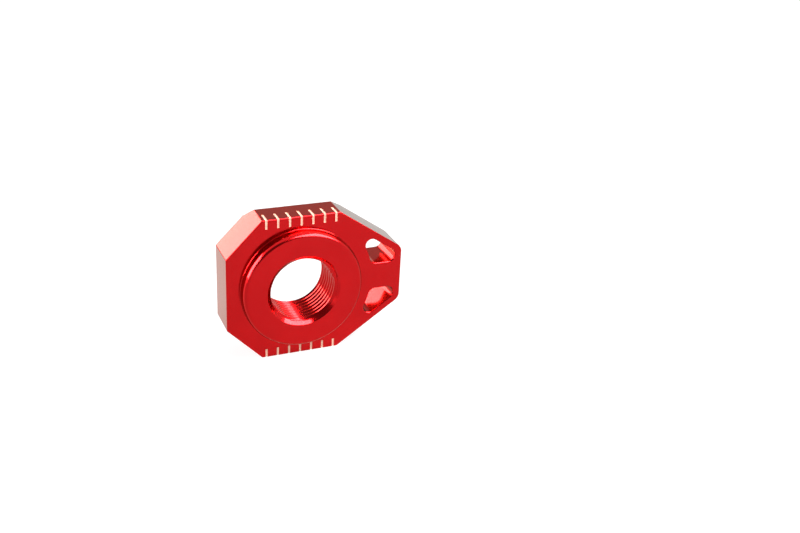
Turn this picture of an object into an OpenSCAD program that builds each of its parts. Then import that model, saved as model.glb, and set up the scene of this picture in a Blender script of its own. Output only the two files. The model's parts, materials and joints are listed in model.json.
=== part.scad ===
// Threaded axle block of a motorcycle chain adjuster.
// The block slides in the swingarm's slot with the rear axle screwed through its bore.
// The adjuster bolt pushes on its narrow end, and the index marks on both long flats
// are read against the swingarm to set both sides of the axle alike.
// The block is one machined and anodised piece. It stands on its lower marked flat.
// Frame: bore axis along Y, boss and marks towards -Y, narrow end towards +X, and
// origin on the bore axis in the plane of the marked front face.

/* [Body] */
// Height across the two marked flats
body_h = 42; // [40:0.5:46]
// Thickness from the marked front face to the back face
body_t = 10.7; // [8:0.1:16]
// Length of each marked flat
flat_l = 22.2; // [21:0.2:26]
// Bore axis to the rear end face
rear_reach = 21.1; // [20:0.1:26]
// Height of the rear end face
rear_h = 21.6; // [14:0.2:26]
// Bore axis to the narrow end face that the adjuster bolt pushes on
nose_reach = 30; // [29:0.5:36]
// Height of the narrow end face
nose_h = 16.2; // [15:0.2:20]
// Radius of the two corners at the narrow end
nose_r = 2.5; // [1:0.1:4]
// Radius of the other six corners
corner_r = 0.7; // [0.5:0.1:1.5]
// Chamfer along the back of both marked flats
back_chamfer = 2.5; // [1:0.1:4]
// Edge break round the front and back faces
edge_break = 0.3; // [0.1:0.05:0.45]

/* [Boss] */
// Diameter of the round boss
boss_d = 34.5; // [28:0.5:36]
// Height of the boss above the marked front face
boss_h = 3.2; // [1.5:0.1:6]
// Fillet where the boss meets the front face
boss_fillet = 0.6; // [0.2:0.1:1]
// Rounding round the boss face
boss_round = 1; // [0.4:0.1:1.2]

/* [Thread] */
// Nominal diameter of the axle thread
thread_d = 20; // [14:1:24]
// Pitch of the axle thread
thread_pitch = 1.5; // [1:0.25:2]
// Diameter of the countersunk mouth in the boss face
front_mouth_d = 21; // [16:0.5:27]
// Diameter of the countersunk mouth in the back face
back_mouth_d = 21.4; // [16:0.2:27]

/* [Windows] */
// Wall left between a window and the outside of the block
window_wall = 2; // [1.5:0.1:3]
// Width of the rib between the two windows
rib_w = 8; // [6:0.5:9]
// Web left between the boss and the curved side of a window
ring_web = 3.95; // [3:0.05:4.5]
// Corner radius of a window beside the slanted side
window_r = 1.8; // [0.8:0.1:2]
// Corner radius of a window where its curved side meets the rib
rib_r = 2; // [0.5:0.1:2]

/* [Index marks] */
// Number of marks on each flat
mark_count = 7; // [3:2:7]
// Spacing of the marks
mark_pitch = 3.3; // [2:0.1:3.4]
// Width of a mark
mark_w = 0.6; // [0.3:0.05:0.8]
// Depth of a mark
mark_depth = 0.15; // [0.1:0.01:0.25]
// Length of a mark on the front face
mark_drop = 2.6; // [1:0.1:2.8]
// Length of a mark along the flat
mark_run = 3.8; // [1:0.1:4.5]

/* [Hidden] */
$fn = 96;
// An inner thread's crest stands this share of its pitch inside the nominal diameter
CREST_SHARE = 5 / 8 * sqrt(3);
// What a cutter reaches past the faces that it cuts
over = 1;
// How far a corner's rounding stands past its sides, so that it crosses them cleanly
kiss = 0.01;

half_h = body_h / 2;
bore_r = (thread_d - CREST_SHARE * thread_pitch) / 2;
crest_w = thread_pitch / 4;
root_w = thread_pitch / 8;
flank_w = (thread_pitch - crest_w - root_w) / 2;
boss_r = boss_d / 2;
ring_r = boss_r + ring_web;
// Long enough to cross the whole block from any of its sides
span = 2 * (rear_reach + nose_reach + body_h);

// Corners of the body, clockwise as seen from the boss, from the top corner beside the nose
corners = [
    [flat_l / 2, half_h],
    [nose_reach, nose_h / 2],
    [nose_reach, -nose_h / 2],
    [flat_l / 2, -half_h],
    [-flat_l / 2, -half_h],
    [-rear_reach, -rear_h / 2],
    [-rear_reach, rear_h / 2],
    [-flat_l / 2, half_h]
];
function corner(i) = corners[(i + len(corners)) % len(corners)];
function radius_at(i) = corner(i).x == nose_reach ? nose_r : corner_r;
function on_flat(i) = abs(corner(i).y) == half_h;
function unit(v) = v / norm(v);
function heading(v) = atan2(v.y, v.x);

// Nose side of the body as a line: unit normal and distance from the bore axis
nose_run = unit(corners[1] - corners[0]);
nose_normal = [-nose_run.y, nose_run.x];
nose_offset = nose_normal * corners[0];

// Everything inboard of one side of the body, with the edges of that side broken
module side_stock(i) {
    run = corner(i + 1) - corner(i);
    back_cut = on_flat(i) && on_flat(i + 1) ? back_chamfer : edge_break;
    translate(corner(i))
        rotate([0, 0, heading(run)])
            translate([-span / 2, 0, 0])
                rotate([90, 0, 90])
                    linear_extrude(height = span)
                        polygon([
                            [-span, -body_t],
                            [-back_cut, -body_t],
                            [0, back_cut - body_t],
                            [0, -edge_break],
                            [-edge_break, 0],
                            [-span, 0]
                        ]);
}

// Waste outside the rounding of one corner
module corner_waste(i) {
    r = radius_at(i);
    to_last = unit(corner(i - 1) - corner(i));
    to_next = unit(corner(i + 1) - corner(i));
    inward = unit(to_last + to_next);
    half_angle = acos(inward * to_next);
    touch = (r - kiss) / tan(half_angle);
    centre = corner(i) + inward * (r - kiss) / sin(half_angle);
    back_cut = on_flat(i) ? 0 : edge_break;
    difference() {
        translate([0, 0, -body_t - over])
            linear_extrude(height = body_t + 2 * over)
                polygon([
                    corner(i) - inward * over,
                    corner(i) + to_next * touch,
                    centre,
                    corner(i) + to_last * touch
                ]);
        translate(centre)
            rotate_extrude()
                polygon([
                    [0, -body_t - 2 * over],
                    [r - back_cut, -body_t - 2 * over],
                    [r - back_cut, -body_t],
                    [r, back_cut - body_t],
                    [r, -edge_break],
                    [r - edge_break, 0],
                    [r - edge_break, 2 * over],
                    [0, 2 * over]
                ]);
    }
}

// The plain eight-sided body
module body() {
    difference() {
        intersection() {
            side_stock(0);
            side_stock(1);
            side_stock(2);
            side_stock(3);
            side_stock(4);
            side_stock(5);
            side_stock(6);
            side_stock(7);
        }
        for (i = [0 : len(corners) - 1])
            corner_waste(i);
    }
}

// Round boss on the front face, rooted inside the body
module boss() {
    rotate_extrude()
        difference() {
            union() {
                polygon([
                    [0, -over],
                    [boss_r + boss_fillet, -over],
                    [boss_r + boss_fillet, boss_fillet],
                    [boss_r, boss_fillet],
                    [boss_r, boss_h - boss_round],
                    [boss_r - boss_round, boss_h],
                    [0, boss_h]
                ]);
                translate([boss_r - boss_round, boss_h - boss_round])
                    circle(r = boss_round);
            }
            translate([boss_r + boss_fillet, boss_fillet])
                circle(r = boss_fillet);
        }
}

// Section of one thread turn: flank, root and flank
function turn_section(start) = [
    [bore_r, start],
    [thread_d / 2, start + flank_w],
    [thread_d / 2, start + flank_w + root_w],
    [bore_r, start + 2 * flank_w + root_w]
];

// Threaded bore with a countersunk mouth at each end. The thread's turns are plain rings
// without lead, centred between the mouths, with a crest between one and the next.
module bore() {
    wall_start = back_mouth_d / 2 - bore_r - body_t;
    wall_end = boss_h - (front_mouth_d / 2 - bore_r);
    turn_count = floor((wall_end - wall_start - crest_w) / thread_pitch);
    first_turn = (wall_start + wall_end - turn_count * thread_pitch + crest_w) / 2;
    rotate_extrude()
        polygon([
            [0, -body_t - over],
            [back_mouth_d / 2 + over, -body_t - over],
            [bore_r, wall_start],
            for (i = [0 : turn_count - 1]) each turn_section(first_turn + i * thread_pitch),
            [bore_r, wall_end],
            [front_mouth_d / 2 + over, boss_h + over],
            [0, boss_h + over]
        ]);
}

// One window: a slanted side, a curved side round the boss, the rib, and a round narrow end
module window() {
    line_d = nose_offset - window_wall;
    tip_x = nose_reach - window_wall;
    // The narrow end touches the slanted side, the nose wall and the rib
    tip_room = line_d - nose_normal * [tip_x, rib_w / 2];
    tip_r = tip_room / (1 - nose_normal.x + nose_normal.y);
    tip_c = [tip_x - tip_r, rib_w / 2 + tip_r];
    slant_along = sqrt(pow(ring_r + window_r, 2) - pow(line_d - window_r, 2));
    slant_c = nose_normal * (line_d - window_r) + nose_run * slant_along;
    rib_c = [sqrt(pow(ring_r + rib_r, 2) - pow(rib_w / 2 + rib_r, 2)), rib_w / 2 + rib_r];
    translate([0, 0, -body_t - over])
        linear_extrude(height = body_t + 2 * over)
            difference() {
                union() {
                    polygon([
                        slant_c + nose_normal * window_r,
                        tip_c + nose_normal * tip_r,
                        tip_c - [0, tip_r],
                        rib_c - [0, rib_r],
                        rib_c * ring_r / (ring_r + rib_r),
                        slant_c * ring_r / (ring_r + window_r)
                    ]);
                    translate(slant_c) circle(r = window_r);
                    translate(rib_c) circle(r = rib_r);
                    translate(tip_c) circle(r = tip_r);
                }
                circle(r = ring_r);
            }
}

// Index marks across the front edge of the upper flat, centred on the bore axis
module index_marks() {
    for (i = [0 : mark_count - 1])
        translate([(i - (mark_count - 1) / 2) * mark_pitch - mark_w / 2, half_h, 0])
            rotate([90, 0, 90])
                linear_extrude(height = mark_w)
                    polygon([
                        [-mark_drop, -mark_depth],
                        [-mark_depth, -mark_depth],
                        [-mark_depth, -mark_run],
                        [over, -mark_run],
                        [over, over],
                        [-mark_drop, over]
                    ]);
}

// The whole block, lying on its back face
module block() {
    difference() {
        union() {
            body();
            boss();
        }
        bore();
        window();
        mirror([0, 1, 0]) window();
        index_marks();
        mirror([0, 1, 0]) index_marks();
    }
}

module axle_block() {
    color([0.80, 0.10, 0.11])
        rotate([90, 0, 0])
            block();
}

axle_block();
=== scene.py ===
"""Looks of a threaded axle block from a motorcycle chain adjuster.

The block is one machined, red anodised piece. Its visible mesh is built here from the
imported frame's reference faces and a few sizes: an eight-sided body with broken edges, a
round boss, a real helical thread, two windows and index marks cut through the dye.
"""
import json
import logging
import math
from dataclasses import dataclass
from enum import Enum
from typing import Any, ClassVar

import bmesh
import bpy
import numpy as np
from mathutils import Matrix, Vector
from mathutils.geometry import tessellate_polygon


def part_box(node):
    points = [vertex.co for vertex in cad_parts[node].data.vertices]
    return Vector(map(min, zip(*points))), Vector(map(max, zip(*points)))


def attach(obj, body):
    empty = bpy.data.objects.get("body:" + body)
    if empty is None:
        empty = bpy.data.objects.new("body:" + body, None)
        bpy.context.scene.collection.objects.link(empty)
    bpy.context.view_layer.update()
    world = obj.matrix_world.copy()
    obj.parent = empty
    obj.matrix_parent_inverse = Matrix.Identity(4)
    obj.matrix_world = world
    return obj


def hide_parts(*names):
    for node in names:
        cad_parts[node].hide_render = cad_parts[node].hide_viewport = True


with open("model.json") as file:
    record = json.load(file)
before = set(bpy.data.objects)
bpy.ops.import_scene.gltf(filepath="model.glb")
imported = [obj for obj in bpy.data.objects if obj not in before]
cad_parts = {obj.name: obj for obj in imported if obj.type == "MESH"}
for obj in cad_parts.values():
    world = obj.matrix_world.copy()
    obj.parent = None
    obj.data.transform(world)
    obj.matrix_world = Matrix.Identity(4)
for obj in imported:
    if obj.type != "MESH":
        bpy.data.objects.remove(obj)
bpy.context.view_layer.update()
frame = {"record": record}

LOG = logging.getLogger("axle_block")
NODE = "axle_block"
MM = 0.001

# An edge that turns by more than this is sharp
SHARP_TURN = math.radians(25)
# A face whose normal has this share along a direction looks straight that way
STRAIGHT = 0.9999

Point = tuple[float, float]


class Side(Enum):
    """The two marked flats, as the sign of their height."""

    UPPER = 1
    LOWER = -1


@dataclass(frozen=True)
class BlockSizes:
    """Sizes of the block in millimetres, measured from the bore axis and the marked face."""

    body_t: float
    boss_h: float
    half_h: float
    rear_reach: float
    nose_reach: float
    crest_r: float
    flat_l: float = 22.2
    rear_h: float = 21.6
    nose_h: float = 16.2
    nose_r: float = 2.5
    corner_r: float = 0.7
    back_chamfer: float = 2.5
    edge_break: float = 0.25
    boss_r: float = 17.25
    boss_fillet: float = 0.2
    boss_round: float = 1.15
    boss_round_depth: float = 1.8
    thread_pitch: float = 1.5
    root_r: float = 10.0
    front_mouth_r: float = 10.5
    back_mouth_r: float = 10.7
    window_wall: float = 2.0
    window_edge: float = 0.35
    rib_w: float = 8.0
    ring_web: float = 3.95
    window_r: float = 1.8
    rib_r: float = 2.0
    mark_count: int = 7
    mark_pitch: float = 3.3
    mark_w: float = 0.6
    mark_depth: float = 0.15
    mark_drop: float = 2.6
    mark_run: float = 3.8

    @classmethod
    def from_frame(cls, record: dict[str, Any]) -> "BlockSizes":
        """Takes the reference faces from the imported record.

        Args:
            record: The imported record, whose mounts give the reference faces in metres.

        Returns:
            The block's sizes.
        """
        mounts = {mount["name"]: mount for mount in record["mounts"]}
        low, _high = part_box(NODE)
        return cls(
            body_t=mounts["back_face"]["pos_m"][1] / MM,
            boss_h=-mounts["boss_face"]["pos_m"][1] / MM,
            half_h=mounts["upper_flat"]["pos_m"][2] / MM,
            rear_reach=-low.x / MM,
            nose_reach=mounts["nose_face"]["pos_m"][0] / MM,
            crest_r=mounts["axle_thread"]["dims"]["r_mm"],
        )

    def corners(self) -> list[Point]:
        """Sets out the body's corners.

        Returns:
            The eight corners in X and Z, clockwise from the top corner by the nose.
        """
        half_flat = self.flat_l / 2
        right = [(half_flat, self.half_h), (self.nose_reach, self.nose_h / 2)]
        left = [(-self.rear_reach, self.rear_h / 2), (-half_flat, self.half_h)]
        lower_right = [(x, -z) for x, z in reversed(right)]
        lower_left = [(x, -z) for x, z in reversed(left)]
        return right + lower_right + lower_left + left


@dataclass(frozen=True)
class Bend:
    """An arc of a closed outline. Straight runs join one bend to the next."""

    centre: Point
    radius: float
    start: float
    end: float
    widest_step: ClassVar[float] = math.radians(9)
    longest_step: ClassVar[float] = 0.5
    fewest_steps: ClassVar[int] = 3

    def points(self, grow: float) -> list[Point]:
        """Samples the arc after the outline is offset.

        Args:
            grow: How far the outline moves outwards.

        Returns:
            Points along the arc, in the outline's clockwise order.
        """
        sweep = self.end - self.start
        radius = self.radius + grow * (1 if sweep < 0 else -1)
        by_turn = math.ceil(abs(sweep) / self.widest_step)
        by_length = math.ceil(abs(sweep) * self.radius / self.longest_step)
        steps = max(self.fewest_steps, by_turn, by_length)
        angles = [self.start + sweep * step / steps for step in range(steps + 1)]
        return [
            (self.centre[0] + radius * math.cos(angle), self.centre[1] + radius * math.sin(angle))
            for angle in angles
        ]


class Shell:
    """A mesh in millimetres that grows face by face and is welded at the end."""

    def __init__(self, bm: bmesh.types.BMesh) -> None:
        """Starts from an open mesh whose holes the shell's strips will fill."""
        self.bm = bm

    def ring(self, points: list[Vector]) -> list[bmesh.types.BMVert]:
        """Adds one vertex for each point and returns them."""
        return [self.bm.verts.new(point) for point in points]

    def strip(self, rings: list[list[bmesh.types.BMVert]]) -> None:
        """Joins each closed ring to the next with quads.

        Args:
            rings: Rings of equal length, in order.
        """
        for near, far in zip(rings, rings[1:]):
            count = len(near)
            for i in range(count):
                j = (i + 1) % count
                self.bm.faces.new((near[i], near[j], far[j], far[i]))

    def cap(self, outer: list[Vector], holes: list[list[Vector]]) -> None:
        """Fills a flat outline round its holes with triangles.

        Args:
            outer: The outline.
            holes: The outlines that stay open.
        """
        flat = [point for outline in [outer, *holes] for point in outline]
        verts = self.ring(flat)
        for triangle in tessellate_polygon([outer, *holes]):
            self.bm.faces.new([verts[i] for i in triangle])

    def weld(self) -> None:
        """Merges the vertices that meet and turns every face outwards."""
        weld_mm = 0.0005
        bmesh.ops.remove_doubles(self.bm, verts=self.bm.verts, dist=weld_mm)
        bmesh.ops.dissolve_degenerate(self.bm, edges=self.bm.edges, dist=weld_mm / 10)
        bmesh.ops.recalc_face_normals(self.bm, faces=self.bm.faces)


@dataclass
class AxleBlock:
    """The block's visible mesh, built feature by feature."""

    sizes: BlockSizes
    around: int = 256
    edge_steps: int = 3

    def body(self) -> bmesh.types.BMesh:
        """Cuts the eight-sided body from solid stock and breaks its edges.

        Returns:
            A closed convex mesh.
        """
        s = self.sizes
        bm = bmesh.new()
        bmesh.ops.create_cube(bm, size=4 * s.nose_reach)
        corners = s.corners()
        for (x0, z0), (x1, z1) in zip(corners, corners[1:] + corners[:1]):
            self.trim(bm, Vector((x0, 0, z0)), Vector((z0 - z1, 0, x1 - x0)))
        self.trim(bm, Vector((0, 0, 0)), Vector((0, -1, 0)))
        self.trim(bm, Vector((0, s.body_t, 0)), Vector((0, 1, 0)))
        for side in Side:
            foot = Vector((0, s.body_t, side.value * (s.half_h - s.back_chamfer)))
            self.trim(bm, foot, Vector((0, 1, side.value)))
        self.round_corners(bm)
        sharp = [edge for edge in bm.edges if edge.calc_face_angle() > SHARP_TURN]
        bmesh.ops.bevel(
            bm, geom=sharp, offset=s.edge_break, offset_type="OFFSET", segments=self.edge_steps,
            profile=0.5, affect="EDGES", clamp_overlap=False,
        )
        return bm

    @staticmethod
    def trim(bm: bmesh.types.BMesh, point: Vector, outward: Vector) -> None:
        """Cuts away what lies outside a plane and closes the cut.

        Args:
            bm: The closed convex mesh to cut.
            point: A point on the plane.
            outward: The plane's normal, towards the waste.
        """
        geometry = [*bm.verts, *bm.edges, *bm.faces]
        bmesh.ops.bisect_plane(
            bm, geom=geometry, plane_co=point, plane_no=outward.normalized(), clear_outer=True
        )
        bmesh.ops.holes_fill(bm, edges=[edge for edge in bm.edges if edge.is_boundary])

    def round_corners(self, bm: bmesh.types.BMesh) -> None:
        """Rounds the upright corners of the body, the two at the nose with a larger radius.

        Args:
            bm: The body, with sharp corners.
        """
        s = self.sizes
        slack = 0.01
        for radius, steps, at_nose in ((s.nose_r, 12, True), (s.corner_r, 5, False)):
            upright = [
                edge
                for edge in bm.edges
                if all(abs(face.normal.y) < slack for face in edge.link_faces)
                and math.isclose(edge.verts[0].co.x, s.nose_reach, abs_tol=slack) == at_nose
                and edge.calc_face_angle() > SHARP_TURN
            ]
            for edge in upright:
                touch = radius * math.tan(edge.calc_face_angle() / 2)
                bmesh.ops.bevel(
                    bm, geom=[edge], offset=touch, offset_type="OFFSET", segments=steps,
                    profile=0.5, affect="EDGES", clamp_overlap=False,
                )

    def mark_cutters(self) -> bmesh.types.BMesh:
        """Builds the cutters of the index marks, one bent bar for each mark.

        Returns:
            A mesh of closed bars that wrap the front edge of both flats.
        """
        s = self.sizes
        clear = 1.0
        bm = bmesh.new()
        for side in Side:
            outline = [
                (s.mark_depth, s.half_h - s.mark_drop),
                (s.mark_depth, s.half_h - s.mark_depth),
                (s.mark_run, s.half_h - s.mark_depth),
                (s.mark_run, s.half_h + clear),
                (-clear, s.half_h + clear),
                (-clear, s.half_h - s.mark_drop),
            ]
            for i in range(s.mark_count):
                middle = (i - (s.mark_count - 1) / 2) * s.mark_pitch
                ends = [
                    [bm.verts.new((middle + half, y, side.value * z)) for y, z in outline]
                    for half in (-s.mark_w / 2, s.mark_w / 2)
                ]
                bm.faces.new(ends[0])
                bm.faces.new(ends[1])
                for j in range(len(outline)):
                    k = (j + 1) % len(outline)
                    bm.faces.new((ends[0][j], ends[0][k], ends[1][k], ends[1][j]))
        bmesh.ops.recalc_face_normals(bm, faces=bm.faces)
        return bm

    def marked_body(self, dye: bpy.types.Material, etched: bpy.types.Material) -> bmesh.types.BMesh:
        """Cuts the index marks into the body, so that their faces keep their own material.

        Args:
            dye: The finish of the body.
            etched: The finish of the marks.

        Returns:
            The body with its marks.
        """
        body = solid_object("body_stock", self.body(), [dye, etched])
        cutters = solid_object("mark_cutters", self.mark_cutters(), [dye, etched])
        cutters.data.polygons.foreach_set("material_index", [1] * len(cutters.data.polygons))
        cut = body.modifiers.new("marks", "BOOLEAN")
        cut.operation = "DIFFERENCE"
        cut.solver = "EXACT"
        cut.object = cutters
        graph = bpy.context.evaluated_depsgraph_get()
        marked = bpy.data.meshes.new_from_object(body.evaluated_get(graph))
        bm = bmesh.new()
        bm.from_mesh(marked)
        for used in (body, cutters):
            bpy.data.objects.remove(used)
        return bm

    @staticmethod
    def open_face(bm: bmesh.types.BMesh, outward: Vector) -> list[Vector]:
        """Takes away the largest flat face that looks one way.

        Args:
            bm: The body.
            outward: The face's normal.

        Returns:
            The outline that the face leaves.
        """
        facing = [face for face in bm.faces if face.normal.dot(outward) > STRAIGHT]
        face = max(facing, key=lambda found: found.calc_area())
        outline = [vert.co.copy() for vert in face.verts]
        bmesh.ops.delete(bm, geom=[face], context="FACES_ONLY")
        return outline

    def circle(self, radius: float, y: float) -> list[Vector]:
        """Returns points round the bore axis, in the order that the thread's columns use."""
        turns = [-2 * math.pi * i / self.around for i in range(self.around)]
        return [Vector((radius * math.cos(turn), y, radius * math.sin(turn))) for turn in turns]

    def rounding(self, size: float) -> list[Point]:
        """Samples a rounded edge from the face to the wall.

        Args:
            size: The rounding's radius.

        Returns:
            Pairs of what is left of the offset, and the depth.
        """
        angles = [math.pi / 2 * step / self.edge_steps for step in range(self.edge_steps + 1)]
        return [(size * (1 - math.sin(angle)), size * (1 - math.cos(angle))) for angle in angles]

    def boss(self, shell: Shell) -> list[Vector]:
        """Adds the boss from its fillet to the mouth of the bore.

        Args:
            shell: The open body.

        Returns:
            The outline where the fillet leaves the front face.
        """
        s = self.sizes
        steps = 10
        quarter = [math.pi / 2 * step / steps for step in range(steps + 1)]
        profile = [
            (
                s.boss_r + s.boss_fillet * (1 - math.sin(angle)),
                -s.boss_fillet * (1 - math.cos(angle)),
            )
            for angle in quarter
        ]
        profile += [
            (
                s.boss_r - s.boss_round * (1 - math.cos(angle)),
                s.boss_round_depth * (1 - math.sin(angle)) - s.boss_h,
            )
            for angle in quarter
        ]
        profile.append((s.front_mouth_r, -s.boss_h))
        shell.strip([shell.ring(self.circle(r, y)) for r, y in profile])
        return self.circle(*profile[0])

    def thread_profile(self) -> list[Point]:
        """Sets out the thread's section, with its corners softened.

        Returns:
            One pitch of the thread as pairs of distance along the bore and radius.
        """
        s = self.sizes
        crest = s.thread_pitch / 4
        root = s.thread_pitch / 8
        flank = (s.thread_pitch - crest - root) / 2
        soften = 0.04
        ease = (s.root_r - s.crest_r) * soften / flank
        return [
            (0.0, s.crest_r),
            (crest - soften, s.crest_r),
            (crest + soften, s.crest_r + ease),
            (crest + flank / 2, (s.crest_r + s.root_r) / 2),
            (crest + flank - soften, s.root_r - ease),
            (crest + flank + soften, s.root_r),
            (crest + flank + root - soften, s.root_r),
            (crest + flank + root + soften, s.root_r - ease),
            (crest + flank * 1.5 + root, (s.crest_r + s.root_r) / 2),
            (s.thread_pitch - soften, s.crest_r + ease),
        ]

    def bore(self, shell: Shell) -> list[Vector]:
        """Adds the helical thread between its two countersunk mouths.

        The wall is a grid whose rows follow the helix, so that crest and root stay crisp.
        Rows past a mouth are held on its rim, and welding takes up what they leave.

        Args:
            shell: The open body.

        Returns:
            The outline where the bore leaves the back face.
        """
        s = self.sizes
        front, back = -s.boss_h, s.body_t
        profile = self.thread_profile()
        turns = math.ceil((back - front) / s.thread_pitch) + 1
        starts = [front + (turn - 1) * s.thread_pitch for turn in range(turns + 1)]
        rows = [(start + along, radius) for start in starts for along, radius in profile]

        def place(row: int, column: int) -> Vector:
            """Finds a point of the grid.

            Args:
                row: The point's row, along the bore.
                column: Its column, round the bore.

            Returns:
                The point, held between the two faces and outside both mouths.
            """
            along, radius = rows[row]
            share = column / self.around
            y = min(max(along + s.thread_pitch * share, front), back)
            radius = max(radius, s.front_mouth_r - (y - front), s.back_mouth_r - (back - y))
            turn = -2 * math.pi * share
            return Vector((radius * math.cos(turn), y, radius * math.sin(turn)))

        columns = [
            shell.ring([place(row, column) for row in range(len(rows))])
            for column in range(self.around)
        ]
        for column in range(self.around):
            near = columns[column]
            last = column == self.around - 1
            far = columns[0][len(profile):] if last else columns[column + 1]
            for row in range(len(far) - 1):
                shell.bm.faces.new((near[row], near[row + 1], far[row + 1], far[row]))
        return self.circle(s.back_mouth_r, back)

    def window(self, side: Side) -> list[Bend]:
        """Works out a window's outline from the walls round it.

        Args:
            side: The flat that the window lies towards.

        Returns:
            The window's bends, clockwise.
        """
        s = self.sizes
        (x0, z0), (x1, z1) = s.corners()[:2]
        length = math.hypot(x1 - x0, z1 - z0)
        run = Vector((x1 - x0, z1 - z0)) / length
        normal = Vector((-run.y, run.x))
        line = normal.dot(Vector((x0, z0))) - s.window_wall
        tip_x = s.nose_reach - s.window_wall
        ring_r = s.boss_r + s.ring_web
        inset = line - s.window_r
        slant = normal * inset + run * math.sqrt((ring_r + s.window_r) ** 2 - inset**2)
        rib_z = s.rib_w / 2 + s.rib_r
        rib = Vector((math.sqrt((ring_r + s.rib_r) ** 2 - rib_z**2), rib_z))
        tip_room = line - normal.dot(Vector((tip_x, s.rib_w / 2)))
        tip_r = tip_room / (1 - normal.x + normal.y)
        tip = Vector((tip_x - tip_r, s.rib_w / 2 + tip_r))
        slope = math.atan2(normal.y, normal.x)
        slant_turn = math.atan2(slant.y, slant.x)
        rib_turn = math.atan2(rib.y, rib.x)
        bends = [
            Bend(tuple(tip), tip_r, slope, -math.pi / 2),
            Bend(tuple(rib), s.rib_r, -math.pi / 2, rib_turn - math.pi),
            Bend((0, 0), ring_r, rib_turn, slant_turn),
            Bend(tuple(slant), s.window_r, slant_turn + math.pi, slope),
        ]
        if side is Side.UPPER:
            return bends
        return [
            Bend((bend.centre[0], -bend.centre[1]), bend.radius, -bend.end, -bend.start)
            for bend in reversed(bends)
        ]

    def window_walls(self, shell: Shell, side: Side) -> tuple[list[Vector], list[Vector]]:
        """Adds a window's walls with both rims rounded.

        Args:
            shell: The open body.
            side: The flat that the window lies towards.

        Returns:
            The outlines that the window leaves in the front and in the back face.
        """
        bends = self.window(side)
        edge = self.rounding(self.sizes.window_edge)
        depths = [(grow, depth) for grow, depth in edge]
        depths += [(grow, self.sizes.body_t - depth) for grow, depth in reversed(edge)]
        outlines = [
            [Vector((x, y, z)) for bend in bends for x, z in bend.points(grow)]
            for grow, y in depths
        ]
        shell.strip([shell.ring(outline) for outline in outlines])
        return outlines[0], outlines[-1]

    def build(self, dye: bpy.types.Material, etched: bpy.types.Material) -> bpy.types.Object:
        """Builds the whole block in the row frame, in metres.

        Args:
            dye: The finish of the block.
            etched: The finish of the index marks.

        Returns:
            The block.
        """
        bm = self.marked_body(dye, etched)
        front_outline = self.open_face(bm, Vector((0, -1, 0)))
        back_outline = self.open_face(bm, Vector((0, 1, 0)))
        shell = Shell(bm)
        windows = [self.window_walls(shell, side) for side in Side]
        shell.cap(front_outline, [self.boss(shell), *(front for front, _back in windows)])
        shell.cap(back_outline, [self.bore(shell), *(back for _front, back in windows)])
        shell.weld()
        open_edges = sum(not edge.is_manifold for edge in bm.edges)
        LOG.info("block mesh: %d faces, %d open edges", len(bm.faces), open_edges)
        block = solid_object("axle_block_machined", bm, [dye, etched])
        shade_machined(block.data)
        block.data.transform(Matrix.Scale(MM, 4))
        return block


def solid_object(
    name: str, bm: bmesh.types.BMesh, materials: list[bpy.types.Material]
) -> bpy.types.Object:
    """Turns a mesh under construction into an object.

    Args:
        name: The object's name.
        bm: The mesh, which is freed.
        materials: The material slots, in order.

    Returns:
        The object, linked to the scene.
    """
    mesh = bpy.data.meshes.new(name)
    bm.to_mesh(mesh)
    bm.free()
    for material in materials:
        mesh.materials.append(material)
    made = bpy.data.objects.new(name, mesh)
    bpy.context.scene.collection.objects.link(made)
    return made


def shade_machined(mesh: bpy.types.Mesh) -> None:
    """Gives flat faces their true normal and blends only the narrow faces between them.

    Args:
        mesh: The block's mesh, in millimetres.
    """
    crease = math.cos(math.radians(38))
    wide_mm2 = 6.0
    count = len(mesh.polygons)
    normals = np.empty(count * 3)
    mesh.polygons.foreach_get("normal", normals)
    normals = normals.reshape(-1, 3)
    areas = np.empty(count)
    mesh.polygons.foreach_get("area", areas)
    flat = (areas > wide_mm2) | (np.abs(normals[:, 1]) > 0.99999)
    around: list[list[int]] = [[] for _ in mesh.vertices]
    for polygon in mesh.polygons:
        for vertex in polygon.vertices:
            around[vertex].append(polygon.index)
    split = np.empty((len(mesh.loops), 3))
    for polygon in mesh.polygons:
        own = normals[polygon.index]
        for loop, vertex in zip(polygon.loop_indices, polygon.vertices):
            if flat[polygon.index]:
                split[loop] = own
                continue
            near = [i for i in around[vertex] if normals[i] @ own > crease]
            wide = [i for i in near if flat[i]]
            if wide:
                split[loop] = normals[max(wide, key=lambda i: normals[i] @ own)]
            else:
                blend = (normals[near] * np.sqrt(areas[near])[:, None]).sum(0)
                split[loop] = blend / np.linalg.norm(blend)
    mesh.polygons.foreach_set("use_smooth", [True] * count)
    mesh.normals_split_custom_set(split.tolist())


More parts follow.
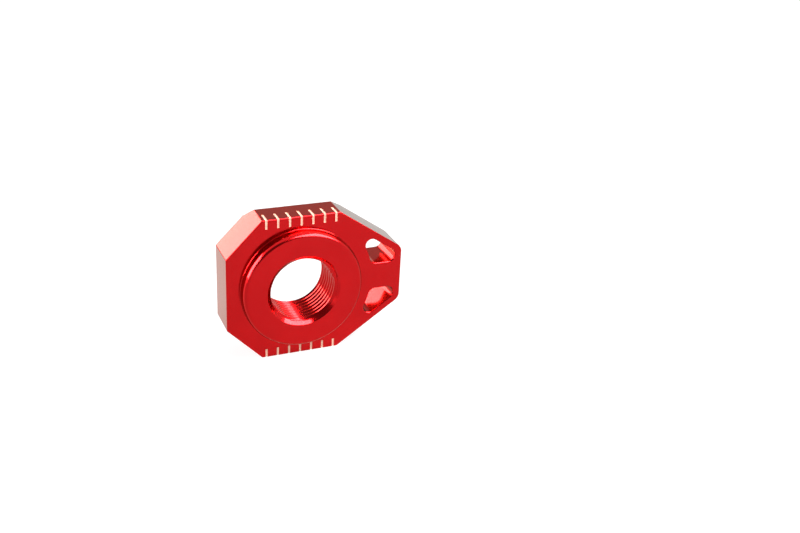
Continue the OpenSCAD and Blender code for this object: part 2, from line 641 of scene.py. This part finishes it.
class Signal:
    """A shader socket that adds Math nodes when it is used in arithmetic."""

    def __init__(self, tree: "ShaderTree", socket: bpy.types.NodeSocket) -> None:
        """Wraps an output socket of a tree."""
        self.tree = tree
        self.socket = socket

    def math(self, operation: str, *others: Any) -> "Signal":
        """Adds a Math node.

        Args:
            operation: The node's operation.
            others: Its further operands, as signals or numbers.

        Returns:
            The result.
        """
        operands = dict(enumerate((self, *others)))
        return self.tree.add("ShaderNodeMath", {"operation": operation}, operands)

    def __add__(self, other: Any) -> "Signal":
        """Adds."""
        return self.math("ADD", other)

    __radd__ = __add__

    def __sub__(self, other: Any) -> "Signal":
        """Subtracts."""
        return self.math("SUBTRACT", other)

    def __rsub__(self, other: float) -> "Signal":
        """Subtracts from a number."""
        return self.math("MULTIPLY_ADD", -1.0, other)

    def __mul__(self, other: Any) -> "Signal":
        """Multiplies."""
        return self.math("MULTIPLY", other)

    __rmul__ = __mul__

    def __truediv__(self, other: Any) -> "Signal":
        """Divides."""
        return self.math("DIVIDE", other)

    def clamped(self, low: float = 0.0, high: float = 1.0) -> "Signal":
        """Holds the signal between two numbers."""
        return self.math("MAXIMUM", low).math("MINIMUM", high)


class ShaderTree:
    """Adds nodes to the tree of a material or a world."""

    def __init__(self, owner: bpy.types.Material | bpy.types.World) -> None:
        """Empties the owner's tree.

        Args:
            owner: The material or the world.
        """
        owner.use_nodes = True
        self.tree = owner.node_tree
        self.tree.nodes.clear()

    def add(
        self,
        kind: str,
        settings: dict[str, Any] | None = None,
        sockets: dict[str | int, Any] | None = None,
        output: str | int = 0,
    ) -> Signal:
        """Adds one node.

        Args:
            kind: The node's type.
            settings: Its settings, such as a Math node's operation, which are set first.
            sockets: Values or signals of its inputs, by name or place.
            output: The output that is returned.

        Returns:
            The chosen output.
        """
        node = self.tree.nodes.new(kind)
        for name, value in (settings or {}).items():
            setattr(node, name, value)
        for name, value in (sockets or {}).items():
            if isinstance(value, Signal):
                self.tree.links.new(value.socket, node.inputs[name])
            else:
                node.inputs[name].default_value = value
        chosen = node.outputs[output] if len(node.outputs) else None
        return Signal(self, chosen)

    def split(self, vector: Signal) -> tuple[Signal, ...]:
        """Splits a vector into its X, Y and Z."""
        axes = self.add("ShaderNodeSeparateXYZ", sockets={0: vector}).socket.node
        return tuple(Signal(self, output) for output in axes.outputs)

    def mix(self, factor: Any, low: Any, high: Any) -> Signal:
        """Mixes two colours.

        Args:
            factor: The share of the second colour.
            low: The first colour.
            high: The second colour.

        Returns:
            The mixed colour.
        """
        return self.add("ShaderNodeMix", {"data_type": "RGBA"}, {0: factor, 6: low, 7: high}, 2)

    def noise(self, place: Signal, per_mm: float) -> Signal:
        """Adds noise that is fixed to the object.

        Args:
            place: Object coordinates in metres.
            per_mm: How many blobs there are in a millimetre.

        Returns:
            The noise, about 0.5.
        """
        return self.add(
            "ShaderNodeTexNoise", {"noise_dimensions": "3D"},
            {"Vector": place, "Scale": per_mm / MM, "Detail": 2.0, "Roughness": 0.55}, "Fac",
        )


@dataclass(frozen=True)
class AnodisedFinish:
    """Dyed anodising over a satin machined surface.

    Attributes:
        boss_r: The boss's radius in millimetres, which the turning marks end at.
        grazing: The metal's colour where it is seen from the side.
        cloud_per_mm: How many pale clouds of dye there are in a millimetre.
        grain_per_mm: How many blasted grains there are in a millimetre.
        turning_pitch: The tool's feed on the boss, in millimetres.
        grain_height: The grain's share of the bump.
        turning_height: The turning marks' share of the bump.
        grain_shine: How far the grain changes the roughness.
        cloud_shine: How far the clouds change the roughness.
    """

    boss_r: float
    name: str = "red_anodising"
    dye: tuple[float, float, float] = (0.59, 0.003, 0.005)
    pale_dye: tuple[float, float, float] = (0.63, 0.004, 0.006)
    grazing: tuple[float, float, float] = (0.43, 0.56, 0.44)
    roughness: float = 0.17
    seal_roughness: float = 0.10
    seal_ior: float = 1.22
    seal_weight: float = 1.0
    cloud_per_mm: float = 0.12
    grain_per_mm: float = 9.0
    turning_pitch: float = 0.28
    grain_height: float = 0.6
    turning_height: float = 0.25
    grain_shine: float = 0.10
    cloud_shine: float = 0.06

    def make(self) -> bpy.types.Material:
        """Builds the material.

        Returns:
            Metal under a clear seal, with blasted grain everywhere and turning marks on the boss.
        """
        material = bpy.data.materials.new(self.name)
        tree = ShaderTree(material)
        place = tree.add("ShaderNodeTexCoord", output="Object")
        cloud = tree.noise(place, self.cloud_per_mm)
        grain = tree.noise(place, self.grain_per_mm)
        x, y, z = tree.split(place)
        radius_mm = (x * x + z * z).math("SQRT") / MM
        turned = (radius_mm * (2 * math.pi / self.turning_pitch)).math("SINE")
        past_rim, above_face = 0.2, 0.5
        in_rim = (self.boss_r + past_rim - radius_mm).clamped()
        on_boss = in_rim * (y / -MM - above_face).clamped()
        height = grain * self.grain_height + turned * on_boss * self.turning_height
        bump = tree.add(
            "ShaderNodeBump", sockets={"Strength": 0.12, "Distance": 0.02 * MM, "Height": height}
        )
        cloud_start, cloud_ramp = 0.35, 0.4
        paleness = ((cloud - cloud_start) / cloud_ramp).clamped()
        colour = tree.mix(paleness, (*self.dye, 1.0), (*self.pale_dye, 1.0))
        smoothest = self.roughness - (self.grain_shine + self.cloud_shine) / 2
        shine = grain * self.grain_shine + cloud * self.cloud_shine + smoothest
        shader = tree.add(
            "ShaderNodeBsdfPrincipled",
            sockets={
                "Base Color": colour, "Metallic": 1.0, "Roughness": shine, "Normal": bump,
                "Specular Tint": (*self.grazing, 1.0), "Coat Weight": self.seal_weight,
                "Coat Roughness": self.seal_roughness, "Coat IOR": self.seal_ior,
            },
        )
        tree.add("ShaderNodeOutputMaterial", sockets={"Surface": shader})
        return material


@dataclass(frozen=True)
class EtchedFinish:
    """Pale metal where an index mark is cut through the dye."""

    name: str = "etched_mark"
    bare: tuple[float, float, float] = (0.94, 0.67, 0.53)
    tinged: tuple[float, float, float] = (0.92, 0.60, 0.46)
    tracks_per_mm: float = 4.0
    smoothest: float = 0.5
    track_shine: float = 0.2

    def make(self) -> bpy.types.Material:
        """Builds the material.

        Returns:
            A dull pale surface with the fine tracks of the cutter.
        """
        material = bpy.data.materials.new(self.name)
        tree = ShaderTree(material)
        place = tree.add("ShaderNodeTexCoord", output="Object")
        tracks = tree.noise(place, self.tracks_per_mm)
        colour = tree.mix(tracks, (*self.bare, 1.0), (*self.tinged, 1.0))
        bump = tree.add(
            "ShaderNodeBump", sockets={"Strength": 0.2, "Distance": 0.02 * MM, "Height": tracks}
        )
        shader = tree.add(
            "ShaderNodeBsdfPrincipled",
            sockets={
                "Base Color": colour, "Metallic": 0.15,
                "Roughness": tracks * self.track_shine + self.smoothest, "Normal": bump,
            },
        )
        tree.add("ShaderNodeOutputMaterial", sockets={"Surface": shader})
        return material


class Shows(Enum):
    """What a lamp's light shows in."""

    MATT = "matt surfaces"
    GLOSS = "gloss"


@dataclass(frozen=True)
class Panel:
    """A flat studio fitting that faces the block. Angles are in degrees and lengths in metres."""

    name: str
    azimuth: float
    elevation: float
    distance: float
    width: float
    height: float

    def aim(self, fitting: bpy.types.Object) -> None:
        """Places the fitting and turns it to the block.

        Args:
            fitting: The lamp or the card.
        """
        towards = direction(self.azimuth, self.elevation)
        fitting.location = towards * self.distance
        fitting.rotation_euler = towards.to_track_quat("Z", "Y").to_euler()


@dataclass(frozen=True)
class SoftBox(Panel):
    """A rectangular lamp, which either lights matt surfaces or is seen in gloss."""

    level: float
    shows: Shows

    def hang(self) -> None:
        """Adds the lamp to the scene."""
        lamp = bpy.data.lights.new(self.name, "AREA")
        lamp.shape = "RECTANGLE"
        lamp.size = self.width
        lamp.size_y = self.height
        lamp.energy = self.level * math.pi * self.width * self.height
        fixture = bpy.data.objects.new(self.name, lamp)
        fixture.visible_diffuse = self.shows is Shows.MATT
        fixture.visible_glossy = self.shows is Shows.GLOSS
        self.aim(fixture)
        bpy.context.scene.collection.objects.link(fixture)


@dataclass(frozen=True)
class Card(Panel):
    """A grey card with a fixed glow that only shows in reflections, where it paints darker
    reflections.
    """

    shade: float

    def hang(self) -> None:
        """Adds the card to the scene."""
        material = bpy.data.materials.new(self.name)
        tree = ShaderTree(material)
        grey = (self.shade, self.shade, self.shade, 1.0)
        glow = tree.add("ShaderNodeEmission", sockets={"Color": grey})
        tree.add("ShaderNodeOutputMaterial", sockets={"Surface": glow})
        bm = bmesh.new()
        bmesh.ops.create_grid(bm, x_segments=1, y_segments=1, size=0.5)
        bmesh.ops.scale(bm, vec=(self.width, self.height, 1.0), verts=bm.verts)
        card = solid_object(self.name, bm, [material])
        self.aim(card)
        card.visible_camera = False
        card.visible_diffuse = False
        card.visible_shadow = False


@dataclass(frozen=True)
class Studio:
    """White surroundings, a pale floor whose gloss carries a painted pool of light and painted
    shade, lamps, and screens and cards that only show in gloss.

    Lengths are in metres.

    Attributes:
        fill_level: The strength of the white world on matt surfaces.
        floor_lift: The floor's own light to the eye, which makes it white.
        gloss_lift: The floor's own light in gloss.
        painted_pool_lift: A painted pool of light that the floor gains in gloss to the left of the
            block and behind it.
        painted_pool_edge: Where the painted pool starts, from the bore axis.
        painted_pool_left_ramp: The length over which the painted pool rises to the left.
        painted_pool_behind_ramp: The length over which the painted pool rises behind the marked
            face.
        painted_shade_front_share: The painted pool's share in front of that face, where it is
            negative and paints shade into the floor's gloss.
    """

    fill_level: float = 0.55
    floor_half: float = 3.0
    floor_colour: tuple[float, float, float] = (0.30, 0.30, 0.30)
    floor_lift: float = 0.84
    gloss_lift: float = 0.50
    # Painted pool of light: the floor glows brighter in gloss to the left of the block and behind
    # it, and dimmer to the left in front of it, which is painted shade
    painted_pool_lift: float = 0.40
    painted_pool_edge: float = 0.005
    painted_pool_left_ramp: float = 0.030
    painted_pool_behind_ramp: float = 0.012
    painted_shade_front_share: float = -0.4
    lamps: tuple[SoftBox, ...] = (
        SoftBox(
            "key_lamp", azimuth=57, elevation=52, distance=0.60, width=0.25, height=0.26,
            level=17.0, shows=Shows.MATT,
        ),
        SoftBox(
            "left_lamp", azimuth=-50, elevation=25, distance=0.60, width=0.30, height=0.30,
            level=5.5, shows=Shows.MATT,
        ),
        SoftBox(
            "key_screen", azimuth=50, elevation=48, distance=0.60, width=0.60, height=0.46,
            level=21.0, shows=Shows.GLOSS,
        ),
        SoftBox(
            "left_screen", azimuth=-104, elevation=20, distance=0.60, width=0.72, height=0.39,
            level=18.0, shows=Shows.GLOSS,
        ),
        SoftBox(
            "rim_screen", azimuth=-154, elevation=15, distance=0.60, width=0.46, height=0.34,
            level=8.2, shows=Shows.GLOSS,
        ),
    )
    # Painted dark reflections: cards of fixed grey glow, seen only in gloss, darken what the block's
    # faces mirror
    cards: tuple[Card, ...] = (
        Card(
            "front_card", azimuth=-15, elevation=34, distance=0.90, width=1.50, height=1.00,
            shade=0.14,
        ),
        Card(
            "back_card", azimuth=160, elevation=38, distance=0.90, width=0.90, height=0.60,
            shade=0.53,
        ),
    )

    @staticmethod
    def background_rays(tree: ShaderTree) -> tuple[Signal, Signal]:
        """Tells the rays that show the background.

        Args:
            tree: The tree that asks.

        Returns:
            1 for a ray to the eye, and 1 for a ray in metal or through glass.
        """
        path = tree.add("ShaderNodeLightPath").socket.node
        rays = ("Is Camera Ray", "Is Glossy Ray", "Is Transmission Ray")
        camera, glossy, transmission = (Signal(tree, path.outputs[ray]) for ray in rays)
        return camera, glossy.math("MAXIMUM", transmission)

    def surroundings(self) -> None:
        """Makes the world white to the eye and in reflections, and a plain fill light."""
        world = bpy.data.worlds.new("studio")
        bpy.context.scene.world = world
        tree = ShaderTree(world)
        camera, gloss = self.background_rays(tree)
        strength = camera.math("MAXIMUM", gloss) * (1.0 - self.fill_level) + self.fill_level
        background = tree.add(
            "ShaderNodeBackground", sockets={"Color": (1.0, 1.0, 1.0, 1.0), "Strength": strength}
        )
        tree.add("ShaderNodeOutputWorld", sockets={"Surface": background})

    def floor(self, height: float) -> bpy.types.Object:
        """Lays the floor.

        Args:
            height: The height that the block stands at, in metres.

        Returns:
            The floor.
        """
        material = bpy.data.materials.new("pale_floor")
        tree = ShaderTree(material)
        place = tree.add("ShaderNodeTexCoord", output="Object")
        x, y, _z = tree.split(place)
        # Painted pool of light and painted shade in the floor's gloss: a mask to the left of the
        # block, positive behind the marked face and negative in front of it
        left = ((self.painted_pool_edge - x) / self.painted_pool_left_ramp).clamped()
        behind = (y / self.painted_pool_behind_ramp).clamped(self.painted_shade_front_share)
        camera, gloss = self.background_rays(tree)
        gloss_glow_with_painted_pool = left * behind * self.painted_pool_lift + self.gloss_lift
        lift = camera * self.floor_lift + gloss * gloss_glow_with_painted_pool
        shader = tree.add(
            "ShaderNodeBsdfPrincipled",
            sockets={
                "Base Color": (*self.floor_colour, 1.0), "Roughness": 0.9, "Specular IOR Level": 0.0,
                "Emission Color": lift, "Emission Strength": 1.0,
            },
        )
        tree.add("ShaderNodeOutputMaterial", sockets={"Surface": shader})
        bm = bmesh.new()
        bmesh.ops.create_grid(bm, x_segments=1, y_segments=1, size=self.floor_half)
        laid = solid_object("floor", bm, [material])
        laid.location.z = height
        return laid

    def set_up(self, floor_height: float) -> None:
        """Lights the scene.

        Args:
            floor_height: The height of the floor, in metres.
        """
        self.surroundings()
        self.floor(floor_height)
        for panel in (*self.lamps, *self.cards):
            panel.hang()


def direction(azimuth: float, elevation: float) -> Vector:
    """Returns the unit vector towards a viewer.

    Args:
        azimuth: Degrees round the block, 0 in front of the marked face.
        elevation: Degrees above the horizon.

    Returns:
        The direction from the block to the viewer.
    """
    a, e = math.radians(azimuth), math.radians(elevation)
    return Vector((math.sin(a) * math.cos(e), -math.cos(a) * math.cos(e), math.sin(e)))


@dataclass(frozen=True)
class PhotoCamera:
    """The camera at the photograph's viewing angle, worked out from the block's edges in it."""

    azimuth: float = -24.73
    elevation: float = 25.66
    roll: float = 3.41
    distance: float = 0.2997
    aim: tuple[float, float, float] = (0.02981, 0.0, 0.00186)
    lens: float = 46.96
    sensor: float = 36.0

    def place(self) -> None:
        """Makes the camera and gives it to the scene."""
        lens = bpy.data.cameras.new("photo_camera")
        lens.lens = self.lens
        lens.sensor_fit = "HORIZONTAL"
        lens.sensor_width = self.sensor
        lens.clip_start = 0.01
        camera = bpy.data.objects.new("photo_camera", lens)
        back = direction(self.azimuth, self.elevation)
        turn = math.radians(self.azimuth)
        level_right = Vector((math.cos(turn), math.sin(turn), 0.0))
        level_up = back.cross(level_right)
        tilt = math.radians(self.roll)
        right = level_right * math.cos(tilt) + level_up * math.sin(tilt)
        up = level_up * math.cos(tilt) - level_right * math.sin(tilt)
        facing = Matrix((right, up, back)).transposed().to_4x4()
        camera.matrix_world = Matrix.Translation(Vector(self.aim) + back * self.distance) @ facing
        bpy.context.scene.collection.objects.link(camera)
        bpy.context.scene.camera = camera


def main() -> None:
    """Builds the camera, the studio and the block, and reports each piece."""
    logging.basicConfig(level=logging.INFO, format="%(name)s: %(message)s")
    bpy.context.scene.view_settings.view_transform = "Standard"
    PhotoCamera().place()
    sizes = BlockSizes.from_frame(frame["record"])
    Studio().set_up(-sizes.half_h * MM)
    LOG.info("camera and studio are in place")
    dye = AnodisedFinish(boss_r=sizes.boss_r).make()
    block = AxleBlock(sizes).build(dye, EtchedFinish().make())
    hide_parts(NODE)
    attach(block, "root")
    LOG.info("%s: %d vertices", block.name, len(block.data.vertices))


if __name__ == "__main__":
    main()
